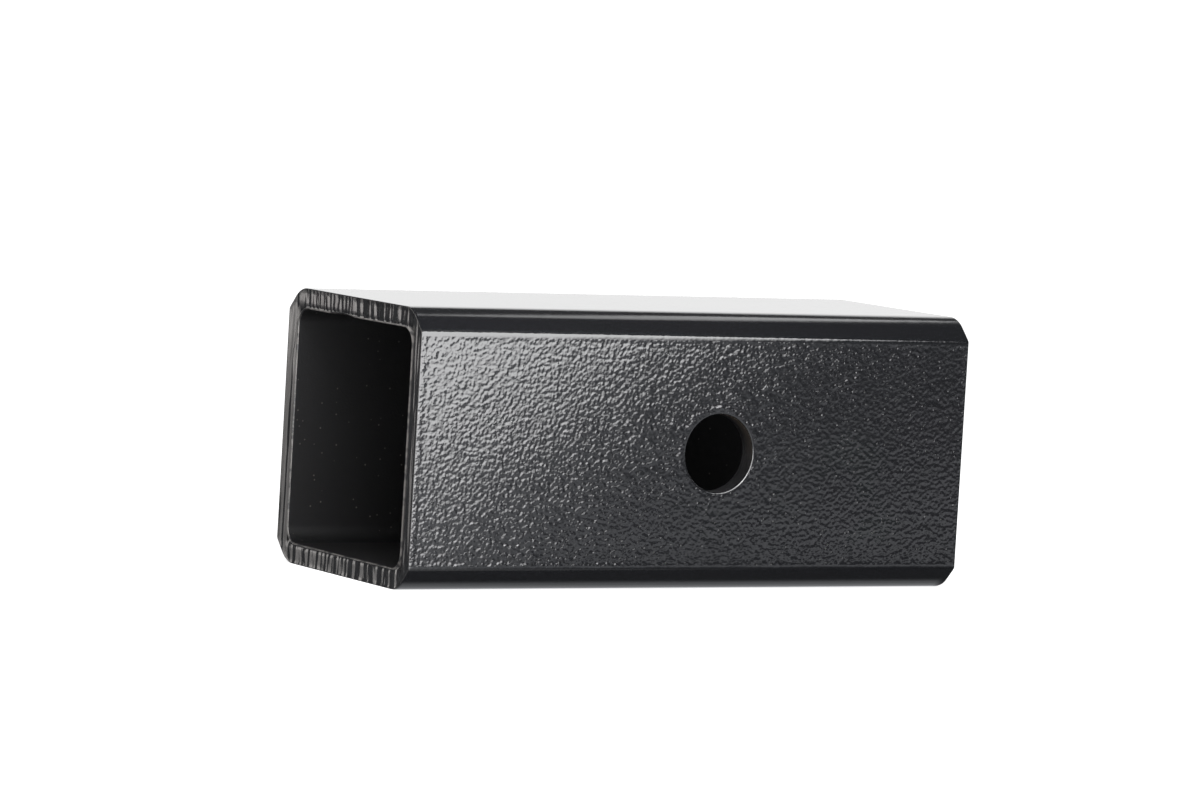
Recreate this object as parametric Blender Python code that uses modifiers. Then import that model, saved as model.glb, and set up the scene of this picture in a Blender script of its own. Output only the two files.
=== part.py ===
"""Hitch reducer sleeve: a short length of square steel tube with flattened corners.

The tube lies along X with its sawn ends at -X and +X, and stands on its bottom face at
z = 0. A shank slides through the bore along X, and one cross pin hole runs along Y
through both side walls. Sizes are in metres.
"""

import math

import bmesh
import bpy
from mathutils import Matrix

IN = 0.0254  # one inch

# Driving sizes
OUTER = 2.5 * IN  # across the outer faces, both ways
WALL = 0.1875 * IN  # wall thickness of the tube
LENGTH = 5.75 * IN  # along X
FLAT_RUN = 0.00325  # how far each corner flat reaches in from its side face
BLEND_RADIUS = 0.0065  # round from a corner flat into the top or bottom face
BORE_RADIUS = 0.0040  # inner corner round
SEAM_WIDTH = 0.0120  # trough left along the bore's top where the weld bead was trimmed
SEAM_DEPTH = 0.00035
SEAM_OFFSET = 0.0060  # trough's middle, from the bore's middle towards +Y
PIN_HOLE = 0.0180  # diameter of the cross pin hole
PIN_FROM_END = 3.125 * IN  # hole centre from the -X end
END_BREAK = 0.0005  # rounding of the sawn ends, inside and out
RIM_BREAK = 0.0004  # countersink of the pin hole at the outer faces

# How finely round forms are drawn
BLEND_STEPS = 8
BORE_STEPS = 10
SEAM_STEPS = 8
HOLE_STEPS = 72
BREAK_STEPS = 2

FLAT_ANGLE = math.radians(45)  # slope of a corner flat
CUT_PAST = 0.004  # how far the pin hole's cutter runs past each side face
CREASE_ANGLE = math.radians(60)  # the ends meet the walls more sharply than this
SMOOTH_ANGLE = math.radians(30)
WELD = 1e-6

BLACK_COAT = (0.012, 0.0125, 0.014, 1.0)
COAT_ROUGHNESS = 0.22


def clear_scene():
    for obj in list(bpy.data.objects):
        bpy.data.objects.remove(obj, do_unlink=True)


def new_collection(name):
    group = bpy.data.collections.new(name)
    bpy.context.scene.collection.children.link(group)
    return group


def black_powder_coat():
    coat = bpy.data.materials.new("black_powder_coat")
    coat.use_nodes = True
    shader = coat.node_tree.nodes["Principled BSDF"]
    shader.inputs["Base Color"].default_value = BLACK_COAT
    shader.inputs["Roughness"].default_value = COAT_ROUGHNESS
    shader.inputs["Metallic"].default_value = 0.0
    return coat


def arc(centre, radius, start, sweep, steps):
    """Points on a circle, from the angle start through sweep, both ends included."""
    turns = [start + sweep * i / steps for i in range(steps + 1)]
    return [
        (centre[0] + radius * math.cos(t), centre[1] + radius * math.sin(t)) for t in turns
    ]


def outer_corner():
    """The +Y +Z corner, anticlockwise: up the side face's flat, then round to the top."""
    half = OUTER / 2
    reach = BLEND_RADIUS * math.sin(FLAT_ANGLE)
    drop = BLEND_RADIUS * (1 - math.cos(FLAT_ANGLE))
    centre = (half - FLAT_RUN - reach, half - BLEND_RADIUS)
    start_of_flat = (half, half - drop - FLAT_RUN * math.tan(FLAT_ANGLE))
    round_over = arc(centre, BLEND_RADIUS, FLAT_ANGLE, FLAT_ANGLE, BLEND_STEPS)
    return [start_of_flat] + round_over


def bore_corner():
    """The bore's +Y +Z corner, anticlockwise."""
    half = OUTER / 2 - WALL
    centre = (half - BORE_RADIUS, half - BORE_RADIUS)
    return arc(centre, BORE_RADIUS, 0, math.pi / 2, BORE_STEPS)


def trimmed_seam():
    """The shallow trough of the trimmed weld bead, across the bore's top from +Y to -Y."""
    half_width = SEAM_WIDTH / 2
    radius = (half_width**2 + SEAM_DEPTH**2) / (2 * SEAM_DEPTH)
    half_sweep = math.asin(half_width / radius)
    centre = (SEAM_OFFSET, OUTER / 2 - WALL + SEAM_DEPTH - radius)
    return arc(centre, radius, math.pi / 2 - half_sweep, 2 * half_sweep, SEAM_STEPS)


def all_round(corner, across_top=()):
    """The closed outline of four mirrored copies of one corner, anticlockwise."""
    back_top = corner
    front_top = [(-y, z) for y, z in reversed(corner)]
    front_bottom = [(-y, -z) for y, z in corner]
    back_bottom = [(y, -z) for y, z in reversed(corner)]
    return back_top + list(across_top) + front_top + front_bottom + back_bottom


def add_outline(curve, points):
    spline = curve.splines.new("POLY")
    spline.points.add(len(points) - 1)
    for point, (y, z) in zip(spline.points, points):
        point.co = (y, z, 0, 1)
    spline.use_cyclic_u = True


def tube_section():
    """The tube's section as a filled flat curve, extruded to the tube's length."""
    curve = bpy.data.curves.new("tube_section", "CURVE")
    curve.dimensions = "2D"
    curve.fill_mode = "BOTH"
    curve.extrude = LENGTH / 2
    add_outline(curve, all_round(outer_corner()))
    add_outline(curve, all_round(bore_corner(), trimmed_seam()))
    return bpy.data.objects.new("tube_section", curve)


def mesh_from(source, name, place):
    """The object's evaluated shape as a closed mesh with its caps welded, moved to place."""
    bpy.context.scene.collection.objects.link(source)
    bpy.context.view_layer.update()
    graph = bpy.context.evaluated_depsgraph_get()
    mesh = bpy.data.meshes.new_from_object(source.evaluated_get(graph))
    mesh.name = name
    bpy.data.objects.remove(source, do_unlink=True)
    shape = bmesh.new()
    shape.from_mesh(mesh)
    bmesh.ops.remove_doubles(shape, verts=shape.verts, dist=WELD)
    bmesh.ops.transform(shape, matrix=place, verts=shape.verts)
    bmesh.ops.recalc_face_normals(shape, faces=shape.faces)
    shape.to_mesh(mesh)
    shape.free()
    return mesh


def lying_along_x():
    """Turns the section's plane upright, so that its width runs along Y and its length along X."""
    section_to_yz = Matrix(((0, 0, 1, 0), (1, 0, 0, 0), (0, 1, 0, 0), (0, 0, 0, 1)))
    return Matrix.Translation((0, 0, OUTER / 2)) @ section_to_yz


def sleeve_body(group, coat):
    mesh = mesh_from(tube_section(), "reducer_sleeve", lying_along_x())
    mesh.materials.clear()
    mesh.materials.append(coat)
    sleeve = bpy.data.objects.new("reducer_sleeve", mesh)
    group.objects.link(sleeve)
    ends = sleeve.modifiers.new("sawn_end_break", "BEVEL")
    ends.width = END_BREAK
    ends.segments = BREAK_STEPS
    ends.limit_method = "ANGLE"
    ends.angle_limit = CREASE_ANGLE
    return sleeve


def pin_hole_cutter(group):
    """A drill through both side walls along Y, with a small countersink at each outer face."""
    half = OUTER / 2
    far = half + CUT_PAST
    radius = PIN_HOLE / 2
    flared = radius + RIM_BREAK + CUT_PAST
    profile = [
        (0, far),
        (flared, far),
        (radius, half - RIM_BREAK),
        (radius, RIM_BREAK - half),
        (flared, -far),
        (0, -far),
    ]
    mesh = bpy.data.meshes.new("pin_hole_cutter")
    corners = [(r, 0, along) for r, along in profile]
    mesh.from_pydata(corners, [(i, i + 1) for i in range(len(corners) - 1)], [])
    cutter = bpy.data.objects.new("pin_hole_cutter", mesh)
    turn = cutter.modifiers.new("turned", "SCREW")
    turn.axis = "Z"
    turn.steps = HOLE_STEPS
    turn.render_steps = HOLE_STEPS
    turn.use_merge_vertices = True
    turn.merge_threshold = WELD
    cutter.rotation_euler = (math.pi / 2, 0, 0)
    cutter.location = (PIN_FROM_END - LENGTH / 2, 0, half)
    cutter.display_type = "WIRE"
    cutter.hide_render = True
    group.objects.link(cutter)
    return cutter


def drill(sleeve, cutter):
    hole = sleeve.modifiers.new("pin_hole", "BOOLEAN")
    hole.operation = "DIFFERENCE"
    hole.solver = "EXACT"
    hole.object = cutter


def shade(sleeve):
    sleeve.data.shade_smooth()
    sleeve.data.set_sharp_from_angle(angle=SMOOTH_ANGLE)


def main():
    clear_scene()
    parts = new_collection("hitch_reducer_sleeve")
    cutters = new_collection("cutters")
    sleeve = sleeve_body(parts, black_powder_coat())
    drill(sleeve, pin_hole_cutter(cutters))
    shade(sleeve)


main()
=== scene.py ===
"""The looks of a hitch reducer sleeve: gloss black powder coat over rough steel tube."""

import math

import bmesh
import bpy
from mathutils import Matrix, Vector, noise


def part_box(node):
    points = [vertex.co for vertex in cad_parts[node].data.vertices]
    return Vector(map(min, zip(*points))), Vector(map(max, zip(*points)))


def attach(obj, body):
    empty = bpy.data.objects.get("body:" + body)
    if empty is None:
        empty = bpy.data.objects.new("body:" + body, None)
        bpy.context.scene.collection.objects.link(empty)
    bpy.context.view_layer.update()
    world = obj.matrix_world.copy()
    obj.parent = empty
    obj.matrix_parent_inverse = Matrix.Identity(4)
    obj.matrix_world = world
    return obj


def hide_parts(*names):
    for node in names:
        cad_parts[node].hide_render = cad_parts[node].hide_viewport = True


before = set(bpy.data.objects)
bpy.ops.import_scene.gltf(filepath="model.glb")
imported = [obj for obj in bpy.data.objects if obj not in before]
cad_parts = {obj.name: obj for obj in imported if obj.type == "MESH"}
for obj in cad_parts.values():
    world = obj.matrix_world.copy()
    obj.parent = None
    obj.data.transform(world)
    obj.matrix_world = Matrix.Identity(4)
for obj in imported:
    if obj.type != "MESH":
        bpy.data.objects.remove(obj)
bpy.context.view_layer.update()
LOW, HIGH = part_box("reducer_sleeve")

bl_info = {
    "name": "Hitch reducer sleeve",
    "version": (1, 0, 0),
    "blender": (4, 5, 0),
    "location": "View3D > Sidebar > Hitch sleeve",
    "description": "Dresses the sleeve's solid in gloss black powder coat and sets its stage",
    "category": "Add Mesh",
}

MM = 0.001
X, Y, Z = 0, 1, 2
FLAT_ANGLE = math.radians(45)  # slope of the corner flats
WELD = 1e-7
NEAR = WELD * 10  # how close counts as lying on a plane or a circle
ALONG = 0.9999  # share of an edge's length along an axis that makes it run along it
LONG, WIDE = 100 * MM, 30 * MM  # least lengths of the tube's long edges and its cross ones

# How finely the rounds are drawn
BLEND_SEGMENTS = 6
CREASE_SEGMENTS = 2
END_SEGMENTS = 3
BORE_SEGMENTS = 14
MOUTH_STEPS = 3
RIM_STEPS = 4
SEAM_STEPS = 8

# How finely the faces are cut, so that the coat's relief can show
BORDER = 2.4 * MM  # strip along an edge with finer cells
BORDER_CUTS = 7
LENGTH_CUTS = 228
HEIGHT_CUTS = 77
TOP_CUTS = 15
FLAT_CUTS = 5
WINDOW = 12.3 * MM  # half the square around the pin hole that is filled with rings
RIM_CUTS = 12
WALL_CUTS = 5
OVER_CUTS = 8  # in each edge across the top of an end
END_CUTS = 10  # from an end's outer edge in to the bore

# The relief of the side faces
SIDE_FADE = 0.6 * MM  # depth under a side face over which its relief fades out
RAGGED_SIZE = 0.9 * MM  # lumps in the beads along the edges
RAGGED_SHARE = 0.12
RIM_SHARE = 0.8  # height of the bead around the pin hole, against the edges' own
PEEL_WAVES = ((1.7 * MM, 1.0), (4.1 * MM, 0.8), (11 * MM, 3.0))  # sizes and shares
CALM_BORDER = 2 * MM  # the waves fade in over this much from an edge
PEEL_START = 0.95 * MM  # where the smooth crease gives way to orange peel

# The relief of the sawn ends
FURROW_WIDTH = 2.1 * MM
FURROW_RUN = 18 * MM  # how far a furrow runs before it ends
FURROW_FADE = 0.8 * MM  # the furrows fade in over this much from the outer edge
SWERVE_RUN, SWERVE = 6 * MM, 1.3 * MM  # a furrow wanders on its way up, and how much
SPREAD_RUN, SPREAD = 5 * MM, 3.0 * MM  # the furrows stand unevenly side by side, and how much
LIP_WIDTH = 1.0 * MM  # dipped border around the bore's mouth
LIP_DEPTH = 0.3 * MM

# The finishes' places in the tube's list of materials
PEEL, SMOOTH, SAWN, BORE, DRILLED, MOUTH_HIGHLIGHT = range(6)

# Shares of a face's normal along an axis: square to it, nearly so, and well turned to it
SQUARE_ON, NEARLY_ON, TURNED = 0.97, 0.8, 0.3

# The colour sockets of a Mix node
MIX_SHARE, MIX_FROM, MIX_TO, MIXED = 0, 6, 7, 2


def linear_from_hex(text):
    """An sRGB colour such as 17181b as linear red, green and blue."""
    shares = [int(text[i : i + 2], 16) / 255 for i in (0, 2, 4)]
    return tuple(s / 12.92 if s <= 0.04045 else ((s + 0.055) / 1.055) ** 2.4 for s in shares)


def length_of(name, description, default):
    return bpy.props.FloatProperty(
        name=name, description=description, default=default, unit="LENGTH", precision=5
    )


def colour_of(name, description, text):
    return bpy.props.FloatVectorProperty(
        name=name, description=description, default=linear_from_hex(text), subtype="COLOR"
    )


def amount_of(name, description, default):
    return bpy.props.FloatProperty(name=name, description=description, default=default)


class SleeveForm(bpy.types.PropertyGroup):
    """Sizes of the tube, its edges and its relief."""

    wall: length_of("Wall", "Wall thickness of the tube", 4.7625 * MM)
    flat_drop: length_of("Flat drop", "From the top down to the side face", 5.1538 * MM)
    blend_radius: length_of("Blend radius", "Round from a flat into the top", 6.5 * MM)
    bore_radius: length_of("Bore radius", "Inner corner round", 4.0 * MM)
    crease_round: length_of("Crease round", "Coat's round on the side creases", 0.25 * MM)
    end_break: length_of("End break", "Coat's round on the ends' outer edges", 0.2 * MM)
    mouth_break: length_of("Mouth break", "Broken edge at the bore's mouths", 0.4 * MM)
    seam_width: length_of("Seam width", "Trough of the trimmed weld", 12.0 * MM)
    seam_depth: length_of("Seam depth", "Depth of that trough", 0.35 * MM)
    seam_offset: length_of("Seam offset", "Trough's middle towards the back", 6.0 * MM)
    pin_hole: length_of("Pin hole", "Diameter of the cross hole", 18.0 * MM)
    pin_from_end: length_of("Pin from end", "Hole centre from the near end", 79.375 * MM)
    rim_round: length_of("Rim round", "Coat's round at the hole's rim", 0.5 * MM)
    coat_sink: length_of("Coat sink", "How far the coat's mean lies inside", 0.12 * MM)
    bead_height: length_of("Bead height", "Thick coat along the edges", 0.09 * MM)
    bead_rise: length_of("Bead rise", "From an edge in to the bead's top", 0.95 * MM)
    bead_fall: length_of("Bead fall", "From the bead's top in to the face", 0.5 * MM)
    peel_height: length_of("Peel height", "Orange peel's long waves", 0.03 * MM)
    saw_depth: length_of("Saw depth", "Depth of the saw's furrows", 0.12 * MM)


class CoatLook(bpy.types.PropertyGroup):
    """Colours and gloss of the finishes."""

    coat: colour_of("Coat", "Gloss black powder coat", "17181b")
    dust: colour_of("Dust", "Dust specks inside the tube", "8c8780")
    bore: colour_of("Bore", "Thin coat inside the tube", "131314")
    # grey painted highlight on the bore's mouth, given as a colour
    mouth_highlight: colour_of("Mouth highlight", "Painted highlight on the bore's mouth", "605d5b")
    pin_wall: colour_of("Pin wall", "Dry coat in the pin hole", "3c3630")
    roughness: amount_of("Roughness", "Of the gloss coat", 0.16)


class StageLook(bpy.types.PropertyGroup):
    """Floor, background and lamps."""

    floor: colour_of("Floor", "Pale floor", "f2f2f2")
    ambient: amount_of("Ambient", "World's light on the object", 0.5)
    gloss: amount_of("Gloss room", "World's brightness in the gloss", 0.11)
    key: amount_of("Key", "Brightness of the key softbox", 12.0)
    back: amount_of("Back", "Brightness of the back panel", 1.28)


def edges_along(edges, axis, least=0.0, most=1.0):
    """Those of the edges that run along one axis, with a length between least and most."""
    found = []
    for e in edges:
        run = e.verts[1].co - e.verts[0].co
        if least <= run.length <= most and abs(run[axis]) > ALONG * run.length:
            found.append(e)
    return found


def slice_at(shape, axis, place, geom=None):
    """Cuts the geometry along the plane where axis is at place, and returns what it became."""
    normal = Vector((0, 0, 0))
    normal[axis] = 1
    geom = geom or shape.verts[:] + shape.edges[:] + shape.faces[:]
    cut = bmesh.ops.bisect_plane(
        shape, geom=geom, dist=WELD, plane_co=normal * place, plane_no=normal
    )
    return cut["geom"]


def round_edges(shape, edges, offset, segments):
    bmesh.ops.bevel(
        shape,
        geom=edges,
        offset=offset,
        offset_type="OFFSET",
        segments=segments,
        profile=0.5,
        affect="EDGES",
        material=-1,
        clamp_overlap=False,
    )


def end_faces(shape, half_length):
    return [f for f in shape.faces if abs(abs(f.calc_center_median().x) - half_length) < NEAR]


def tube_outside(shape, form, length, outer):
    """A square bar with its long edges cut to flats, blended, and rounded at the ends."""
    bar = bmesh.ops.create_cube(shape, size=1.0)
    bmesh.ops.scale(shape, vec=(length, outer, outer), verts=bar["verts"])
    round_edges(shape, edges_along(shape.edges, X), form.flat_drop, 1)
    half = outer / 2
    long_edges = edges_along(shape.edges, X)
    blended = [e for e in long_edges if abs(e.verts[0].co.z) > half - NEAR]
    creases = [e for e in long_edges if abs(e.verts[0].co.y) > half - NEAR]
    round_edges(shape, blended, form.blend_radius * math.tan(FLAT_ANGLE / 2), BLEND_SEGMENTS)
    round_edges(shape, creases, form.crease_round, CREASE_SEGMENTS)
    ends = end_faces(shape, length / 2)
    round_edges(shape, [e for f in ends for e in f.edges], form.end_break, END_SEGMENTS)
    bmesh.ops.delete(shape, geom=end_faces(shape, length / 2), context="FACES_ONLY")


def face_grid(shape, form, length, outer):
    """Splits the outside finely where the coat's relief shows, finest beside the edges."""
    half_x = length / 2 - form.end_break
    half_z = outer / 2 - form.flat_drop - form.crease_round
    strip = {"least": BORDER * 0.9, "most": BORDER * 1.1}
    for side in (-1, 1):
        slice_at(shape, X, side * (half_x - BORDER))
    long_runs = edges_along(shape.edges, X, least=LONG)
    short_runs = edges_along(shape.edges, X, **strip)
    bmesh.ops.subdivide_edges(shape, edges=long_runs, cuts=LENGTH_CUTS, use_grid_fill=True)
    bmesh.ops.subdivide_edges(shape, edges=short_runs, cuts=BORDER_CUTS, use_grid_fill=True)
    upright = edges_along(shape.edges, Z, least=half_z)
    upright_faces = {f for e in upright for f in e.link_faces}
    for side in (-1, 1):
        geom = {g for f in upright_faces if f.is_valid for g in (f, *f.edges, *f.verts)}
        made = slice_at(shape, Z, side * (half_z - BORDER), list(geom))
        upright_faces = {g for g in made if isinstance(g, bmesh.types.BMFace)}
    tall = edges_along(shape.edges, Z, least=half_z)
    short = edges_along(shape.edges, Z, **strip)
    bmesh.ops.subdivide_edges(shape, edges=tall, cuts=HEIGHT_CUTS, use_grid_fill=True)
    bmesh.ops.subdivide_edges(shape, edges=short, cuts=BORDER_CUTS, use_grid_fill=True)
    across = edges_along(shape.edges, Y, least=WIDE)
    bmesh.ops.subdivide_edges(shape, edges=across, cuts=TOP_CUTS, use_grid_fill=True)
    flats = []
    for e in shape.edges:
        run = e.verts[1].co - e.verts[0].co
        if run.length > 3 * MM and min(abs(run.y), abs(run.z)) > 2 * MM:
            flats.append(e)
    bmesh.ops.subdivide_edges(shape, edges=flats, cuts=FLAT_CUTS, use_grid_fill=True)


def bore_inside(shape, form, length, bore):
    """The bore as a square bar turned inside out, flared at both mouths and open there."""
    before = set(shape.verts)
    bar = bmesh.ops.create_cube(shape, size=1.0)
    straight = length - 2 * form.mouth_break
    bmesh.ops.scale(shape, vec=(straight, bore, bore), verts=bar["verts"])
    long_edges = edges_along({e for v in bar["verts"] for e in v.link_edges}, X)
    round_edges(shape, long_edges, form.bore_radius, BORE_SEGMENTS)
    own_faces = {f for v in shape.verts if v not in before for f in v.link_faces}
    caps = [f for f in own_faces if abs(f.normal.x) > 0.9]
    mouths = {e for f in caps for e in f.edges}
    bmesh.ops.delete(shape, geom=caps, context="FACES_ONLY")
    half = bore / 2
    for side in (-1, 1):
        loop = [e for e in mouths if e.verts[0].co.x * side > 0]
        reach = 0.0
        for i in range(1, MOUTH_STEPS + 1):
            turn = math.pi / 2 * i / MOUTH_STEPS
            flare = form.mouth_break * (1 - math.cos(turn))
            place = side * (length / 2 - form.mouth_break * (1 - math.sin(turn)))
            size = (half + flare) / (half + reach)
            loop, verts = grow_loop(shape, loop)
            bmesh.ops.scale(shape, vec=(1, size, size), verts=verts)
            bmesh.ops.translate(shape, vec=(place - verts[0].co.x, 0, 0), verts=verts)
            reach = flare
    own_faces = {f for v in shape.verts if v not in before for f in v.link_faces}
    bmesh.ops.reverse_faces(shape, faces=list(own_faces))


def grow_loop(shape, loop):
    """Extrudes a loop of edges in place, and returns the new loop and its vertices."""
    grown = bmesh.ops.extrude_edge_only(shape, edges=loop)["geom"]
    edges = [g for g in grown if isinstance(g, bmesh.types.BMEdge)]
    return edges, [g for g in grown if isinstance(g, bmesh.types.BMVert)]


def open_window(shape, faces, centre_x, half_window):
    """Takes out the faces inside a square window and returns the window's edges."""
    inside = []
    for f in faces:
        c = f.calc_center_median()
        if abs(c.x - centre_x) < half_window and abs(c.z) < half_window:
            inside.append(f)
    border = set()
    for f in inside:
        border.symmetric_difference_update(f.edges)
    kept = {v for e in border for v in e.verts}
    lost = [v for v in {v for f in inside for v in f.verts} if v not in kept]
    bmesh.ops.delete(shape, geom=inside, context="FACES_ONLY")
    bmesh.ops.delete(shape, geom=lost, context="VERTS")
    return list(border)


def faces_at(shape, y):
    return [f for f in shape.faces if abs(f.calc_center_median().y - y) < NEAR]


def ring_in_window(shape, border, centre, radius):
    """Grows a window's edges in to an even circle, from its corner round, with its rays."""
    circle, verts = grow_loop(shape, border)
    verts.sort(key=lambda v: math.atan2(v.co.z, v.co.x - centre[X]))
    corner = max(range(len(verts)), key=lambda i: verts[i].co.x + verts[i].co.z)
    for i in range(len(verts)):
        turn = math.pi / 4 + 2 * math.pi * i / len(verts)
        arm = Vector((math.cos(turn), 0, math.sin(turn))) * radius
        verts[(corner + i) % len(verts)].co = Vector(centre) + arm
    rays = list({e for v in verts for e in v.link_edges} - set(circle))
    return circle, rays


def pin_hole(shape, form, length, outer, bore):
    """Opens the cross hole through both side walls, with a coat-rounded outer rim."""
    centre_x = form.pin_from_end - length / 2
    radius = form.pin_hole / 2
    about = Matrix.Translation((-centre_x, 0, 0))
    for side in (-1, 1):
        border = open_window(shape, faces_at(shape, side * outer / 2), centre_x, WINDOW)
        columns, rows = len(edges_along(border, X)) // 2, len(edges_along(border, Z)) // 2
        centre = (centre_x, side * outer / 2, 0)
        rim, rays = ring_in_window(shape, border, centre, radius + form.rim_round)
        bmesh.ops.subdivide_edges(shape, edges=rays, cuts=RIM_CUTS, use_grid_fill=True)
        border = matching_window(shape, side * bore / 2, centre_x, columns, rows)
        ring_in_window(shape, border, (centre_x, side * bore / 2, 0), radius)
        reach = form.rim_round
        for i in range(1, RIM_STEPS + 1):
            turn = math.pi / 2 * i / RIM_STEPS
            left = form.rim_round * (1 - math.sin(turn))
            place = side * (outer / 2 - form.rim_round * (1 - math.cos(turn)))
            size = (radius + left) / (radius + reach)
            rim, verts = grow_loop(shape, rim)
            bmesh.ops.scale(shape, vec=(size, 1, size), verts=verts, space=about)
            bmesh.ops.translate(shape, vec=(0, place - verts[0].co.y, 0), verts=verts)
            reach = left
        rim, verts = grow_loop(shape, rim)
        bmesh.ops.translate(shape, vec=(0, side * bore / 2 - verts[0].co.y, 0), verts=verts)
        through = list({e for v in verts for e in v.link_edges} - set(rim))
        bmesh.ops.subdivide_edges(shape, edges=through, cuts=WALL_CUTS, use_grid_fill=True)
        inner = []
        for v in shape.verts:
            r = math.hypot(v.co.x - centre_x, v.co.z)
            if max(abs(v.co.y - side * bore / 2), abs(r - radius)) < NEAR:
                inner.append(v)
        bmesh.ops.remove_doubles(shape, verts=inner, dist=2 * NEAR)


def matching_window(shape, y, centre_x, columns, rows):
    """Opens the same window in the bore's wall at y, its edges cut to that many cells."""
    geom = list({g for f in faces_at(shape, y) for g in (f, *f.edges, *f.verts)})
    for place in (-WINDOW, WINDOW):
        geom = slice_at(shape, X, centre_x + place, geom)
        geom = slice_at(shape, Z, place, geom)
    border = open_window(shape, faces_at(shape, y), centre_x, WINDOW)
    sides = set(border)
    for axis, cells in ((X, columns), (Z, rows)):
        cut = bmesh.ops.subdivide_edges(shape, edges=edges_along(border, axis), cuts=cells - 1)
        sides |= {g for g in cut["geom_split"] if isinstance(g, bmesh.types.BMEdge)}
    return [e for e in sides if e.is_valid and e.is_boundary]


def seam_trough(shape, form, bore):
    """Presses the trimmed weld's shallow trough into the bore's ceiling, mouths included."""
    ceiling = []
    for f in shape.faces:
        c = f.calc_center_median()
        if -NEAR < c.z - bore / 2 < form.mouth_break and abs(c.y) < bore / 4:
            ceiling.append(f)
    geom = list({g for f in ceiling for g in (f, *f.edges, *f.verts)})
    for i in range(SEAM_STEPS + 1):
        place = form.seam_offset + form.seam_width * (i / SEAM_STEPS - 0.5)
        geom = slice_at(shape, Y, place, geom)
    for v in {v for f in geom if isinstance(f, bmesh.types.BMFace) for v in f.verts}:
        share = (v.co.y - form.seam_offset) / (form.seam_width / 2)
        if abs(share) < 1 and v.co.z < bore / 2 + form.mouth_break + NEAR:
            v.co.z += form.seam_depth * (1 - share**2)


def close_ends(shape, form, outer, bore):
    """Joins bore and outside with the sawn faces, in cells fine enough for the furrows."""
    reach = (outer + bore) / 4
    for side in (-1, 1):
        loops = [e for e in shape.edges if e.is_boundary and e.verts[0].co.x * side > 0]
        mouth = [e for e in loops if all(max(abs(v.co.y), abs(v.co.z)) < reach for v in e.verts)]
        rim = [e for e in loops if e not in mouth]
        over = [e for e in edges_along(rim, Y) if e.calc_length() > 2 * MM]
        bmesh.ops.subdivide_edges(shape, edges=over, cuts=OVER_CUTS)
        rows, columns = len(edges_along(rim, Z)) // 2, (OVER_CUTS + 1) * len(over) // 2
        upright, level = edges_along(mouth, Z, least=WIDE), edges_along(mouth, Y, least=WIDE)
        bmesh.ops.subdivide_edges(shape, edges=upright, cuts=rows - 1)
        bmesh.ops.subdivide_edges(shape, edges=level, cuts=columns - 1)
        loops = [e for e in shape.edges if e.is_boundary and e.verts[0].co.x * side > 0]
        made = bmesh.ops.bridge_loops(shape, edges=loops)["edges"]
        rays = [e for e in made if e.calc_length() > 2 * MM]
        bmesh.ops.subdivide_edges(shape, edges=rays, cuts=END_CUTS, use_grid_fill=True)


def bead(form, away):
    """Height of the thick coat that gathers along an edge, away from that edge."""
    if away < form.bead_rise:
        return form.bead_height * math.sin(math.pi / 2 * away / form.bead_rise)
    share = (away - form.bead_rise) / form.bead_fall
    return form.bead_height * max(0.0, 0.5 + 0.5 * math.cos(math.pi * min(share, 1.0)))


def relief(shape, form, length, outer):
    """Sinks the coat a little into the solid, by less where it is thick or peels up."""
    half = outer / 2
    half_z = half - form.flat_drop
    centre_x = form.pin_from_end - length / 2
    moves = {}
    for v in shape.verts:
        x, y, z = v.co
        deep = (half - abs(y)) / SIDE_FADE
        if deep < 1 and abs(z) <= half_z + form.crease_round:
            to_rim = math.hypot(x - centre_x, z) - form.pin_hole / 2 - form.rim_round
            away = min(length / 2 - form.end_break - abs(x), half_z - abs(z))
            depth = peel_depth(form, v.co, away, to_rim)
            moves[v] = Vector((0, -math.copysign(depth * (1 - deep), y), 0))
        elif abs(abs(x) - length / 2) < NEAR:
            to_bore = max(abs(y), abs(z)) - half + form.wall - form.mouth_break
            past_flat = (half + half_z - abs(y) - abs(z)) * math.cos(FLAT_ANGLE)
            to_edge = min(half - max(abs(y), abs(z)), past_flat) - form.end_break
            depth = furrow_depth(form, v.co, to_bore, to_edge)
            moves[v] = Vector((-math.copysign(depth, x), 0, 0))
    for v, move in moves.items():
        v.co += move


def peel_depth(form, place, away, to_rim):
    """How deep the coat lies on a side face, so far away from its edges and the hole's rim."""
    x, y, z = place
    ragged = noise.noise(place / RAGGED_SIZE)
    high = max(bead(form, max(away, 0.0)), RIM_SHARE * bead(form, max(to_rim, 0.0)))
    high *= 1 + RAGGED_SHARE * ragged
    spot = Vector((x, y * 3, z))
    waves = sum(share * noise.noise(spot / size) for size, share in PEEL_WAVES)
    calm = max(0.0, min(1.0, away / CALM_BORDER, to_rim / CALM_BORDER))
    return max(form.coat_sink - high - form.peel_height * waves * calm, 0.0)


def furrow_depth(form, place, to_bore, to_edge):
    """How deep the saw left an end face, with a dipped lip at the bore and flat at its edge."""
    x, y, z = place
    swerve = noise.noise(Vector((x, 0, z)) / SWERVE_RUN) * SWERVE
    swerve += noise.noise(Vector((x, y, 0)) / SPREAD_RUN) * SPREAD
    line = Vector((x, (y + swerve) / FURROW_WIDTH, z / FURROW_RUN))
    furrow = noise.noise(line) + 0.3 * noise.noise(line * 2.3)
    lip = max(0.0, 1 - to_bore / LIP_WIDTH) ** 2
    rise = min(1.0, to_edge / FURROW_FADE) * (1 - lip)
    return max(form.saw_depth * (0.3 + rise * (0.7 + furrow)) + LIP_DEPTH * lip, 0.0)


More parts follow.
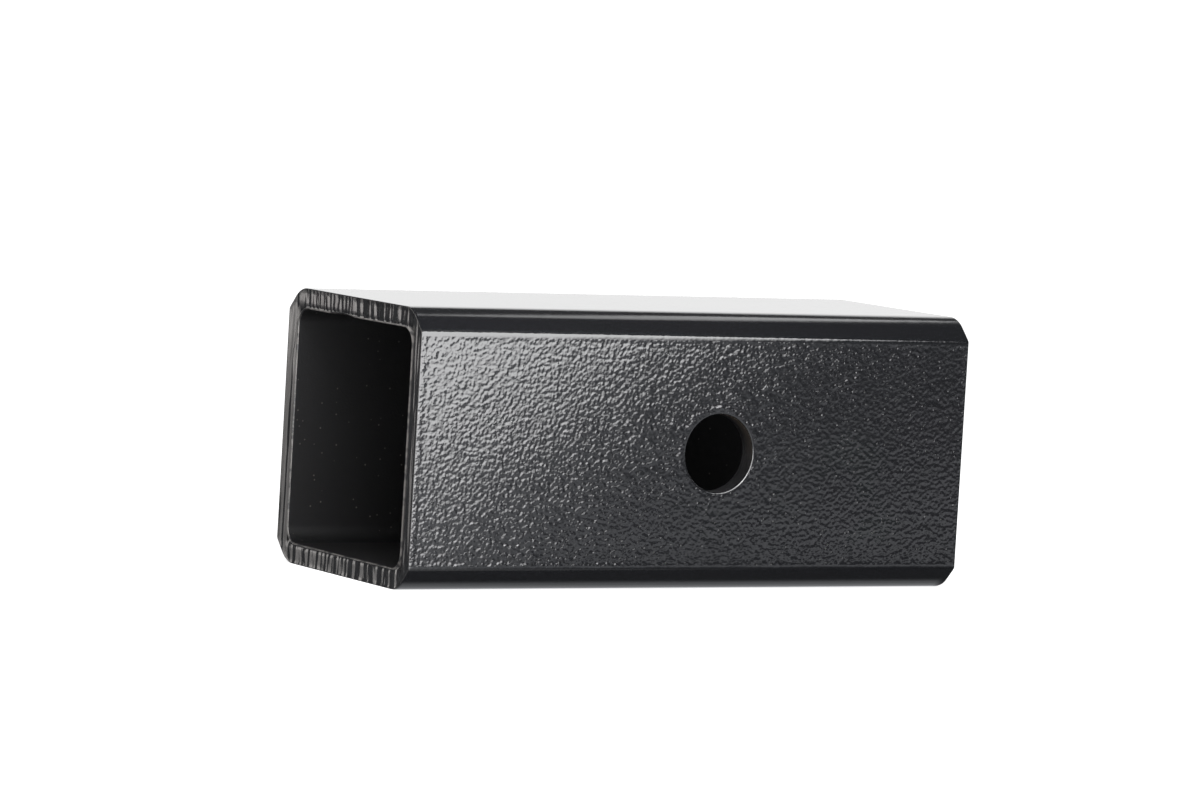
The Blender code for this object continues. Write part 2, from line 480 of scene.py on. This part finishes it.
def sort_finishes(shape, form, length, outer, bore):
    """Gives each face the number of its finish."""
    half, centre_x = outer / 2, form.pin_from_end - length / 2
    corner = bore / 2 - form.bore_radius
    for f in shape.faces:
        c = f.calc_center_median()
        n = f.normal
        r = math.hypot(c.x - centre_x, c.z) - form.pin_hole / 2
        in_bore = max(abs(c.y), abs(c.z)) < bore / 2 + form.mouth_break
        around = math.hypot(max(abs(c.y) - corner, 0), max(abs(c.z) - corner, 0))
        past_bore = around - form.bore_radius
        on_mouth = abs(c.x) > length / 2 - form.mouth_break and past_bore < form.mouth_break
        on_rim = r < form.rim_round + 0.05 * MM and abs(n.y) > TURNED
        if r < 0.2 * MM and abs(c.y) > bore / 2 - NEAR and abs(n.y) < TURNED:
            f.material_index = DRILLED
        elif on_rim and abs(c.y) > bore / 2 + 2 * MM:
            f.material_index = SMOOTH
        # the bore's broken mouth gets the painted highlight
        elif on_mouth and past_bore > 0:
            f.material_index = MOUTH_HIGHLIGHT
        elif abs(c.x) > length / 2 - 0.3 * MM and abs(n.x) > SQUARE_ON:
            f.material_index = SAWN
        elif in_bore:
            f.material_index = BORE
        elif abs(n.y) > NEARLY_ON and half - form.flat_drop - abs(c.z) > PEEL_START:
            f.material_index = PEEL
        else:
            f.material_index = SMOOTH
        f.smooth = True


def add_node(tree, kind, inputs=None, into=None, **settings):
    """A node with its settings, its inputs set to values or linked to outputs.

    A node given as an input stands for its first output. The new node's own first output
    goes into the socket given as into.
    """
    node = tree.nodes.new(kind)
    for name, value in settings.items():
        setattr(node, name, value)
    for socket, value in (inputs or {}).items():
        if isinstance(value, bpy.types.Node):
            value = value.outputs[0]
        if isinstance(value, bpy.types.NodeSocket):
            tree.links.new(value, node.inputs[socket])
        else:
            node.inputs[socket].default_value = value
    if into is not None:
        tree.links.new(node.outputs[0], into)
    return node


def new_finish(name, colour, roughness):
    """A material of that name, with its node tree, its shader and the Object coordinates."""
    finish = bpy.data.materials.new(name)
    finish.use_nodes = True
    tree = finish.node_tree
    shader = tree.nodes["Principled BSDF"]
    shader.inputs["Base Color"].default_value = (*colour, 1)
    shader.inputs["Roughness"].default_value = roughness
    shader.inputs["IOR"].default_value = 1.5
    where = add_node(tree, "ShaderNodeTexCoord").outputs["Object"]
    return finish, tree, shader, where


def orange_peel_coat(look):
    """Powder coat sprayed over mill-rough steel.

    Soft domes 0.9 mm apart break the lamps' mirror images into wrinkles. Small nibs and
    pits 0.5 mm across make points of light among them.
    """
    finish, tree, shader, where = new_finish("powder_coat_orange_peel", look.coat, look.roughness)
    waves = add_node(
        tree,
        "ShaderNodeTexNoise",
        {"Vector": where, "Scale": 1 / (0.85 * MM), "Detail": 0.6, "Roughness": 0.5},
    )
    domes = add_node(
        tree,
        "ShaderNodeTexVoronoi",
        {"Vector": where, "Scale": 1 / (0.9 * MM), "Smoothness": 0.8},
        feature="SMOOTH_F1",
    )
    peel = add_node(
        tree, "ShaderNodeMath", {0: domes, 1: -0.8, 2: waves}, operation="MULTIPLY_ADD"
    )
    cells = add_node(tree, "ShaderNodeTexVoronoi", {"Vector": where, "Scale": 1 / (1.5 * MM)})
    dot = add_node(
        tree,
        "ShaderNodeMapRange",
        {"Value": cells, "From Max": 0.18, "To Min": 1.0, "To Max": 0.0},
        interpolation_type="SMOOTHSTEP",
    )
    # most cells hold a raised nib, some a small open pit
    chance = add_node(tree, "ShaderNodeSeparateColor", {"Color": cells.outputs["Color"]})
    raised = add_node(
        tree,
        "ShaderNodeMapRange",
        {"Value": chance, "From Min": 0.2, "From Max": 0.6, "To Min": -1.0, "To Max": 0.9},
    )
    rough = add_node(tree, "ShaderNodeMath", {0: dot, 1: raised, 2: peel}, operation="MULTIPLY_ADD")
    # torn metal along the sawn edge shows through the coat as a row of beads
    run = add_node(tree, "ShaderNodeSeparateXYZ", {"Vector": where}).outputs["X"]
    run = add_node(tree, "ShaderNodeMath", {0: run}, operation="ABSOLUTE")
    torn = add_node(
        tree,
        "ShaderNodeMapRange",
        {"Value": run, "From Min": 71.6 * MM, "From Max": 72.4 * MM, "To Max": 0.8},
    )
    beads = add_node(
        tree, "ShaderNodeTexNoise", {"Vector": where, "Scale": 1 / (0.5 * MM), "Detail": 0.0}
    )
    height = add_node(
        tree, "ShaderNodeMath", {0: torn, 1: beads, 2: rough}, operation="MULTIPLY_ADD"
    )
    bump = {"Height": height, "Strength": 1.0, "Distance": 0.22 * MM}
    add_node(tree, "ShaderNodeBump", bump, into=shader.inputs["Normal"])
    return finish


def smooth_coat(look):
    """The same coat where it flowed out on the rolled top, bottom and corners.

    It mirrors the studio nearly clean, with a faint unevenness 3 mm long.
    """
    finish, tree, shader, where = new_finish("powder_coat_smooth", look.coat, look.roughness)
    waves = add_node(
        tree,
        "ShaderNodeTexNoise",
        {"Vector": where, "Scale": 1 / (3.0 * MM), "Detail": 2.0, "Roughness": 0.4},
    )
    # on the side faces' borders the coat stands in small beads
    side = add_node(tree, "ShaderNodeSeparateXYZ", {"Vector": where}).outputs["Y"]
    side = add_node(tree, "ShaderNodeMath", {0: side}, operation="ABSOLUTE")
    border = add_node(
        tree,
        "ShaderNodeMapRange",
        {"Value": side, "From Min": 31.3 * MM, "From Max": 31.6 * MM, "To Max": 2.6},
    )
    beads = add_node(
        tree, "ShaderNodeTexNoise", {"Vector": where, "Scale": 1 / (0.8 * MM), "Detail": 0.0}
    )
    height = add_node(
        tree, "ShaderNodeMath", {0: border, 1: beads, 2: waves}, operation="MULTIPLY_ADD"
    )
    bump = {"Height": height, "Strength": 1.0, "Distance": 0.02 * MM}
    add_node(tree, "ShaderNodeBump", bump, into=shader.inputs["Normal"])
    return finish


def sawn_coat(look):
    """Coat over a bandsawn face: upright wavy furrows that catch the light as stripes."""
    finish, tree, shader, where = new_finish("powder_coat_sawn", look.coat, look.roughness)
    stretch = add_node(tree, "ShaderNodeMapping", {"Vector": where, "Scale": (1, 1, 0.08)})
    furrows = add_node(
        tree,
        "ShaderNodeTexNoise",
        {
            "Vector": stretch,
            "Scale": 1 / (2.3 * MM),
            "Detail": 1.0,
            "Roughness": 0.5,
            "Distortion": 0.3,
        },
    )
    # hollow from side to side, so that the two walls mirror different parts of the room
    across = add_node(tree, "ShaderNodeSeparateXYZ", {"Vector": where}).outputs["Y"]
    hollow = add_node(tree, "ShaderNodeMath", {0: across, 1: 50.0}, operation="MULTIPLY")
    height = add_node(
        tree, "ShaderNodeMath", {0: hollow, 1: hollow, 2: furrows}, operation="MULTIPLY_ADD"
    )
    bump = {"Height": height, "Strength": 1.0, "Distance": 0.6 * MM}
    add_node(tree, "ShaderNodeBump", bump, into=shader.inputs["Normal"])
    return finish


def bore_coat(look):
    """Thin, dull overspray inside the tube: nearly black, with pale dust specks on it."""
    finish, tree, shader, where = new_finish("powder_coat_bore", look.bore, 0.6)
    shader.inputs["Specular IOR Level"].default_value = 0.12
    grain = add_node(
        tree,
        "ShaderNodeTexNoise",
        {"Vector": where, "Scale": 1 / (0.6 * MM), "Detail": 2.0, "Roughness": 0.5},
    )
    bump = {"Height": grain, "Strength": 1.0, "Distance": 0.05 * MM}
    add_node(tree, "ShaderNodeBump", bump, into=shader.inputs["Normal"])
    specks = add_node(tree, "ShaderNodeTexVoronoi", {"Vector": where, "Scale": 1 / (2.3 * MM)})
    near = add_node(
        tree,
        "ShaderNodeMapRange",
        {"Value": specks, "From Min": 0.03, "From Max": 0.12, "To Min": 0.25, "To Max": 0.0},
    )
    dusted = add_node(
        tree,
        "ShaderNodeMix",
        {MIX_SHARE: near, MIX_FROM: (*look.bore, 1), MIX_TO: (*look.dust, 1)},
        data_type="RGBA",
    )
    tree.links.new(dusted.outputs[MIXED], shader.inputs["Base Color"])
    return finish


def pin_wall_coat(look):
    """Dry overspray on the drilled wall: brownish near the outer rim and black further in, with
    painted light that keeps the brown to the hole's upper part, where the key light falls.
    """
    finish, tree, shader, where = new_finish("powder_coat_drilled", look.pin_wall, 0.5)
    shader.inputs["Specular IOR Level"].default_value = 0.15
    rings = add_node(tree, "ShaderNodeMapping", {"Vector": where, "Scale": (0.2, 1, 0.2)})
    turned = add_node(
        tree,
        "ShaderNodeTexNoise",
        {"Vector": rings, "Scale": 1 / (0.5 * MM), "Detail": 1.0, "Roughness": 0.5},
    )
    bump = {"Height": turned, "Strength": 1.0, "Distance": 0.05 * MM}
    add_node(tree, "ShaderNodeBump", bump, into=shader.inputs["Normal"])
    place = add_node(tree, "ShaderNodeSeparateXYZ", {"Vector": where}).outputs
    side = add_node(tree, "ShaderNodeMath", {0: place["Y"]}, operation="ABSOLUTE")
    outward = add_node(
        tree,
        "ShaderNodeMapRange",
        {"Value": side, "From Min": 28.0 * MM, "From Max": 31.0 * MM},
    )
    painted_lit_top = add_node(
        # painted light: the wall turns browner towards the top of the hole, where the key light
        # falls on it
        tree,
        "ShaderNodeMapRange",
        {"Value": place["Z"], "From Min": 30.0 * MM, "From Max": 39.0 * MM},
    )
    thin_coat_and_painted_light = add_node(tree, "ShaderNodeMath", {0: outward, 1: painted_lit_top}, operation="MULTIPLY")
    colour = add_node(
        tree,
        "ShaderNodeMix",
        {MIX_SHARE: thin_coat_and_painted_light, MIX_FROM: (*look.bore, 1), MIX_TO: (*look.pin_wall, 1)},
        data_type="RGBA",
    )
    tree.links.new(colour.outputs[MIXED], shader.inputs["Base Color"])
    return finish


def painted_mouth_highlight(look):
    """The bore's broken mouth, with a grey line painted on as its edge highlight and broken up by
    noise.
    """
    finish, tree, shader, where = new_finish("powder_coat_painted_mouth_highlight", look.mouth_highlight, 0.4)
    highlight_breaks = add_node(
        tree,
        "ShaderNodeTexNoise",
        {"Vector": where, "Scale": 1 / (1.5 * MM), "Detail": 2.0, "Roughness": 0.5},
    )
    # where the noise runs high the grey painted highlight shows, elsewhere the black coat
    left = add_node(
        tree, "ShaderNodeMapRange", {"Value": highlight_breaks, "From Min": 0.4, "From Max": 0.55}
    )
    colour = add_node(
        tree,
        "ShaderNodeMix",
        {MIX_SHARE: left, MIX_FROM: (*look.coat, 1), MIX_TO: (*look.mouth_highlight, 1)},
        data_type="RGBA",
    )
    tree.links.new(colour.outputs[MIXED], shader.inputs["Base Color"])
    return finish


class HITCH_SLEEVE_OT_add_tube(bpy.types.Operator):
    """Build the coated tube over its CAD solid"""

    bl_idname = "hitch_sleeve.add_tube"
    bl_label = "Add coated tube"

    def execute(self, context):
        form, look = context.scene.sleeve_form, context.scene.coat_look
        length, outer = HIGH.x - LOW.x, HIGH.y - LOW.y
        bore = outer - 2 * form.wall
        shape = bmesh.new()
        tube_outside(shape, form, length, outer)
        face_grid(shape, form, length, outer)
        bore_inside(shape, form, length, bore)
        pin_hole(shape, form, length, outer, bore)
        close_ends(shape, form, outer, bore)
        seam_trough(shape, form, bore)
        bmesh.ops.recalc_face_normals(shape, faces=shape.faces)
        sort_finishes(shape, form, length, outer, bore)
        relief(shape, form, length, outer)
        open_edges = [e for e in shape.edges if not e.is_manifold]
        if open_edges:
            raise RuntimeError(f"the tube has {len(open_edges)} open edges")
        bmesh.ops.translate(shape, vec=(0, 0, outer / 2), verts=shape.verts)
        mesh = bpy.data.meshes.new("coated_tube")
        shape.to_mesh(mesh)
        shape.free()
        finishes = {
            PEEL: orange_peel_coat,
            SMOOTH: smooth_coat,
            SAWN: sawn_coat,
            BORE: bore_coat,
            DRILLED: pin_wall_coat,
            MOUTH_HIGHLIGHT: painted_mouth_highlight,
        }
        for place in sorted(finishes):
            mesh.materials.append(finishes[place](look))
        tube = bpy.data.objects.new("coated_tube", mesh)
        context.scene.collection.objects.link(tube)
        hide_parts("reducer_sleeve")
        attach(tube, "root")
        return {"FINISHED"}


def panel_lamp(
    name, place, aim, size, brightness, along=(0, 0, 0), lights=False, tint=(1, 1, 1)
):
    """A softbox of that size in metres, as bright as a white surface times brightness.

    It shows in the gloss, and lights the object too only where lights is True. Its width
    runs level, or else as near to along as it can.
    """
    lamp = bpy.data.lights.new(name, "AREA")
    lamp.shape = "RECTANGLE"
    lamp.size, lamp.size_y = size
    lamp.energy = brightness * math.pi * size[0] * size[1]
    lamp.color = tint
    obj = bpy.data.objects.new(name, lamp)
    bpy.context.scene.collection.objects.link(obj)
    back = (Vector(place) - Vector(aim)).normalized()
    side = Vector(along) - back * back.dot(Vector(along))
    side = side.normalized() if side.length > 0.01 else Vector((0, 0, 1)).cross(back).normalized()
    turn = Matrix((side, back.cross(side), back)).transposed().to_4x4()
    obj.matrix_world = Matrix.Translation(Vector(place)) @ turn
    obj.visible_camera = False
    obj.visible_diffuse = lights


def feathered_key(brightness):
    """The key softbox close to the front face, its slanted lower edge feathered in steps."""
    slant = math.radians(31)
    edge = Vector((math.cos(slant), 0, math.sin(slant)))
    across = Vector((-math.sin(slant), 0, math.cos(slant)))
    lower_edge, width, height = Vector((-0.01, -0.1, 0.04)), 0.3, 0.14
    steps, shift = 5, 8 * MM
    for i in range(steps):
        place = lower_edge + across * (height / 2 + shift * (i - steps // 2))
        place.y -= MM * i  # cards in one plane would hide each other in the gloss
        aim = place + Vector((0, 0.1, 0))
        panel_lamp(f"key_softbox_{i + 1}", place, aim, (width, height), brightness / steps, edge)


def pale_floor(stage):
    """A wide white floor, white to the camera but for the sleeve's soft shadow."""
    shape = bmesh.new()
    bmesh.ops.create_grid(shape, x_segments=1, y_segments=1, size=15.0)
    mesh = bpy.data.meshes.new("floor")
    shape.to_mesh(mesh)
    shape.free()
    floor = bpy.data.objects.new("floor", mesh)
    bpy.context.scene.collection.objects.link(floor)
    paper = bpy.data.materials.new("matt_white_paper")
    paper.use_nodes = True
    tree = paper.node_tree
    tree.nodes.clear()
    path = add_node(tree, "ShaderNodeLightPath").outputs
    matt = add_node(tree, "ShaderNodeBsdfDiffuse", {"Color": (*stage.floor, 1)})
    lift = add_node(tree, "ShaderNodeEmission", {"Color": (1, 1, 1, 1), "Strength": 0.8})
    seen = add_node(tree, "ShaderNodeAddShader", {0: matt, 1: lift})
    mirrored = add_node(
        tree,
        "ShaderNodeBsdfPrincipled",
        {
            "Base Color": (0, 0, 0, 1),
            "Roughness": 0.2,
            "Emission Color": (0.94, 0.96, 1.0, 1),
            "Emission Strength": floor_level(tree),
        },
    )
    through = add_node(
        tree,
        "ShaderNodeMath",
        {0: path["Is Camera Ray"], 1: path["Is Transmission Ray"]},
        operation="MAXIMUM",
    )
    to_eye = add_node(tree, "ShaderNodeMixShader", {0: through, 1: matt, 2: seen})
    to_gloss = add_node(
        tree, "ShaderNodeMixShader", {0: path["Is Glossy Ray"], 1: to_eye, 2: mirrored}
    )
    add_node(tree, "ShaderNodeOutputMaterial", {"Surface": to_gloss})
    mesh.materials.append(paper)


def floor_level(tree):
    """How bright the floor is in the gloss: a lit stretch ahead of the front face.

    It is painted into the floor's emission. It starts past a painted shadow of the sleeve and falls
    off towards the dark of the room.
    A dimmer strip of painted light lies under the sleeve, from its front edge in.
    """
    where = add_node(tree, "ShaderNodeTexCoord").outputs["Object"]
    place = add_node(tree, "ShaderNodeSeparateXYZ", {"Vector": where}).outputs
    # along Y, in metres: where each ramp begins and ends, and how much it comes to
    starts, falls, fades, strip = (
        add_node(
            tree,
            "ShaderNodeMapRange",
            {"Value": place["Y"], "From Min": start, "From Max": stop, "To Max": level},
        )
        for start, stop, level in (
            (-0.04, -0.06, 1.25),
            (-0.06, -0.24, 0.85),
            (-0.24, -0.5, 0.32),
            (-0.0287, -0.0277, 0.5),
        )
    )
    aside = add_node(tree, "ShaderNodeMath", {0: place["X"]}, operation="ABSOLUTE")
    beside = add_node(
        tree, "ShaderNodeMapRange", {"Value": aside, "From Min": 73.5 * MM, "From Max": 71.5 * MM}
    )
    lost = add_node(tree, "ShaderNodeMath", {0: falls, 1: fades}, operation="ADD")
    ahead = add_node(tree, "ShaderNodeMath", {0: starts, 1: lost}, operation="SUBTRACT")
    lit = add_node(
        tree, "ShaderNodeMath", {0: strip, 1: beside, 2: ahead}, operation="MULTIPLY_ADD"
    )
    return add_node(tree, "ShaderNodeMath", {0: lit, 1: 0.08}, operation="ADD")


def studio_world(stage):
    """White to the camera, dim to the gloss coat, and a soft fill elsewhere."""
    world = bpy.data.worlds.new("studio")
    world.use_nodes = True
    bpy.context.scene.world = world
    tree = world.node_tree
    tree.nodes.clear()
    path = add_node(tree, "ShaderNodeLightPath").outputs
    fill, gloss, white = (
        add_node(tree, "ShaderNodeBackground", {"Color": (1, 1, 1, 1), "Strength": strength})
        for strength in (stage.ambient, stage.gloss, 1.0)
    )
    through = add_node(
        tree,
        "ShaderNodeMath",
        {0: path["Is Camera Ray"], 1: path["Is Transmission Ray"]},
        operation="MAXIMUM",
    )
    to_gloss = add_node(
        tree, "ShaderNodeMixShader", {0: path["Is Glossy Ray"], 1: fill, 2: gloss}
    )
    to_eye = add_node(tree, "ShaderNodeMixShader", {0: through, 1: to_gloss, 2: white})
    add_node(tree, "ShaderNodeOutputWorld", {"Surface": to_eye})


def photo_camera():
    """The photograph's view: from the near end's side, a little above, with a long lens."""
    azimuth, elevation, roll = (math.radians(a) for a in (30.807, 4.594, 3.389))
    aside, above, distance = -5.76 * MM, 9.16 * MM, 1.4596
    ahead = Vector(
        (
            math.sin(azimuth) * math.cos(elevation),
            math.cos(azimuth) * math.cos(elevation),
            -math.sin(elevation),
        )
    )
    level = ahead.cross(Vector((0, 0, 1))).normalized()
    upright = level.cross(ahead)
    right = level * math.cos(roll) + upright * math.sin(roll)
    up = upright * math.cos(roll) - level * math.sin(roll)
    middle = (LOW + HIGH) / 2
    place = middle + right * aside + up * above - ahead * distance
    data = bpy.data.cameras.new("photo_camera")
    data.lens, data.sensor_width = 188.608, 36.0
    data.clip_start, data.clip_end = 0.05, 60.0
    camera = bpy.data.objects.new("photo_camera", data)
    bpy.context.scene.collection.objects.link(camera)
    turn = Matrix((right, up, -ahead)).transposed().to_4x4()
    camera.matrix_world = Matrix.Translation(place) @ turn
    bpy.context.scene.camera = camera


class HITCH_SLEEVE_OT_set_stage(bpy.types.Operator):
    """Set the floor, the background, the lamps and the photograph's camera"""

    bl_idname = "hitch_sleeve.set_stage"
    bl_label = "Set stage"

    def execute(self, context):
        stage = context.scene.stage_look
        context.scene.view_settings.view_transform = "Standard"
        pale_floor(stage)
        studio_world(stage)
        feathered_key(stage.key)
        panel_lamp(
            "main_softbox",
            place=(-0.15, -0.46, 0.39),
            aim=(-0.055, -0.032, 0.055),
            size=(0.3, 0.3),
            brightness=10.0,
            lights=True,
        )
        # dim cards behind each other, most of them low, so that the gloss fades upwards
        for i, tall in enumerate((0.07, 0.14, 0.26)):
            panel_lamp(
                f"fill_card_{i + 1}",
                place=(0.33, -0.65 - 0.01 * i, tall / 2),
                aim=(0.33, 0, tall / 2),
                size=(1.1, tall),
                brightness=0.035,
            )
        panel_lamp(
            "back_panel",
            place=(0.5, 0.9, 0.3),
            aim=(0, 0, 0.03),
            size=(1.1, 0.6),
            brightness=stage.back,
        )
        panel_lamp(
            "side_panel",
            place=(-0.495, 0.257, 0.15),
            aim=(-0.073, 0, 0.032),
            size=(0.5, 0.3),
            brightness=4.2,
            tint=(1.0, 0.96, 0.93),
        )
        panel_lamp(
            "top_strip",
            place=(0.632, 0.307, 1.03),
            aim=(0, 0, 0.06),
            size=(0.5, 0.13),
            brightness=3.2,
            along=(0.46, 0.89, 0),
        )
        photo_camera()
        return {"FINISHED"}


class HITCH_SLEEVE_PT_panel(bpy.types.Panel):
    """Lists the sleeve's sizes, finishes and stage"""

    bl_idname = "HITCH_SLEEVE_PT_panel"
    bl_label = "Hitch reducer sleeve"
    bl_space_type = "VIEW_3D"
    bl_region_type = "UI"
    bl_category = "Hitch sleeve"

    def draw(self, context):
        layout = self.layout
        for group in (context.scene.sleeve_form, context.scene.coat_look, context.scene.stage_look):
            box = layout.box()
            for name in group.__annotations__:
                box.prop(group, name)
        layout.operator(HITCH_SLEEVE_OT_add_tube.bl_idname)
        layout.operator(HITCH_SLEEVE_OT_set_stage.bl_idname)


CLASSES = (
    SleeveForm,
    CoatLook,
    StageLook,
    HITCH_SLEEVE_OT_add_tube,
    HITCH_SLEEVE_OT_set_stage,
    HITCH_SLEEVE_PT_panel,
)


def register():
    for cls in CLASSES:
        bpy.utils.register_class(cls)
    bpy.types.Scene.sleeve_form = bpy.props.PointerProperty(type=SleeveForm)
    bpy.types.Scene.coat_look = bpy.props.PointerProperty(type=CoatLook)
    bpy.types.Scene.stage_look = bpy.props.PointerProperty(type=StageLook)


def unregister():
    del bpy.types.Scene.stage_look
    del bpy.types.Scene.coat_look
    del bpy.types.Scene.sleeve_form
    for cls in reversed(CLASSES):
        bpy.utils.unregister_class(cls)


def main():
    register()
    bpy.ops.hitch_sleeve.add_tube()
    bpy.ops.hitch_sleeve.set_stage()


if __name__ == "__main__":
    main()
